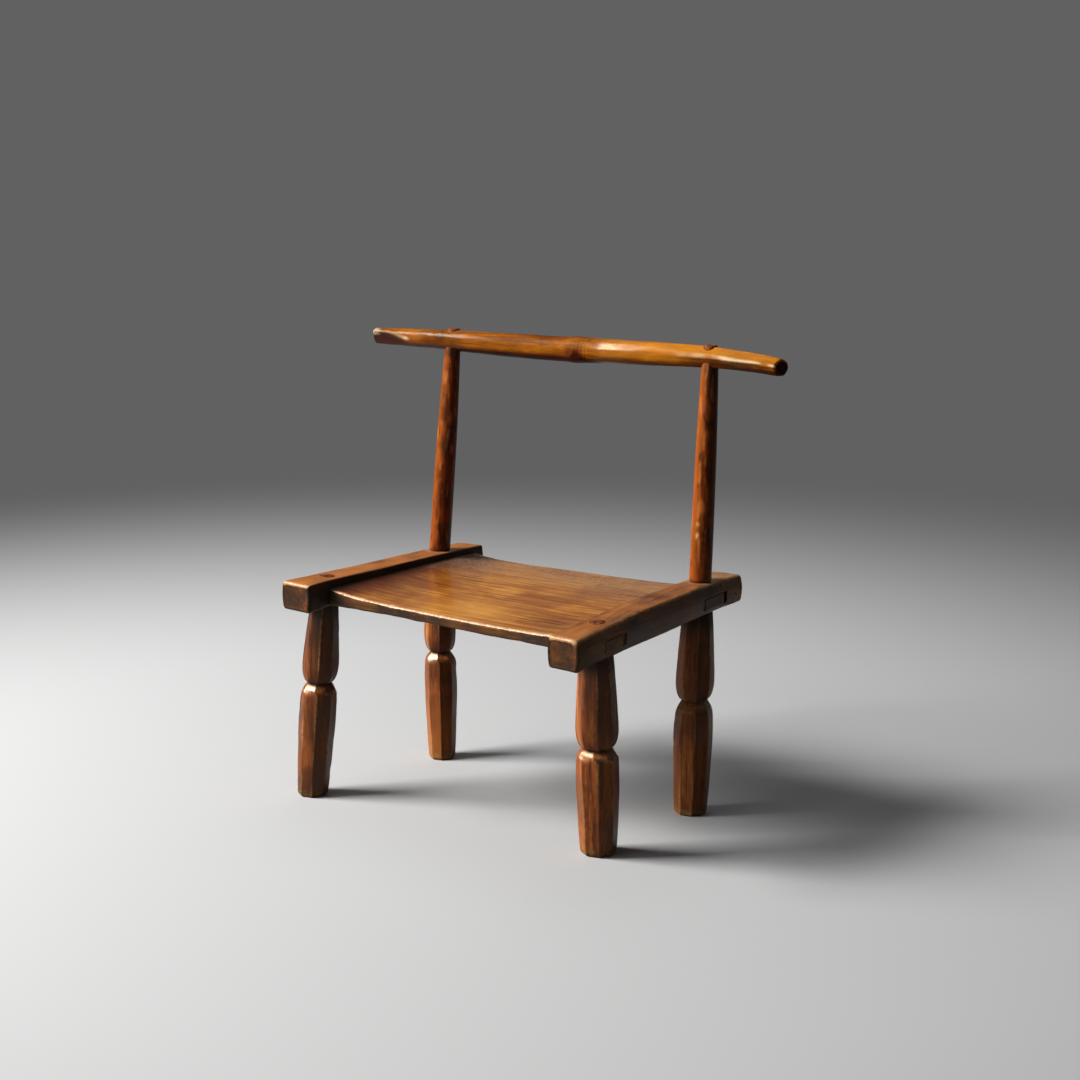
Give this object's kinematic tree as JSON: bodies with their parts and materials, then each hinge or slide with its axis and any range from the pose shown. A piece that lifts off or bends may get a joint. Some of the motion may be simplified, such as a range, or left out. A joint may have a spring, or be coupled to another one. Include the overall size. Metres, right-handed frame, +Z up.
{
  "type": "low chair",
  "caption": "Low carved wooden chair: scooped seat board tenoned through side rails, faceted legs with a cut neck, and leaning round posts under a long crest rail cut from a branch.",
  "frame": {"origin": "on the floor, under the middle of the crest rail's length and halfway along the side rails", "axes": "+X to the right as seen from the front, +Y to the back, +Z up; a person on the seat faces -Y"},
  "size_m": [0.671, 0.3654, 0.6123],
  "materials": {
    "rail_wood": "worn and polished by use, medium brown",
    "seat_wood": "polished by use, golden brown",
    "leg_wood": "hand-cut facets with a dark reddish patina",
    "post_wood": "smooth, reddish brown",
    "crest_wood": "glossy from handling, honey-coloured, with knots",
    "key_wood": "raw end grain"
  },
  "bodies": {
    "root": {"left_side_rail": "rail_wood", "right_side_rail": "rail_wood", "seat_board": "seat_wood", "front_left_leg": "leg_wood", "front_right_leg": "leg_wood", "rear_left_leg": "leg_wood", "rear_right_leg": "leg_wood", "left_back_post": "post_wood", "right_back_post": "post_wood", "crest_rail": "crest_wood", "front_left_tenon_key": "key_wood", "front_right_tenon_key": "key_wood", "rear_left_tenon_key": "key_wood", "rear_right_tenon_key": "key_wood"}
  },
  "joints": []
}
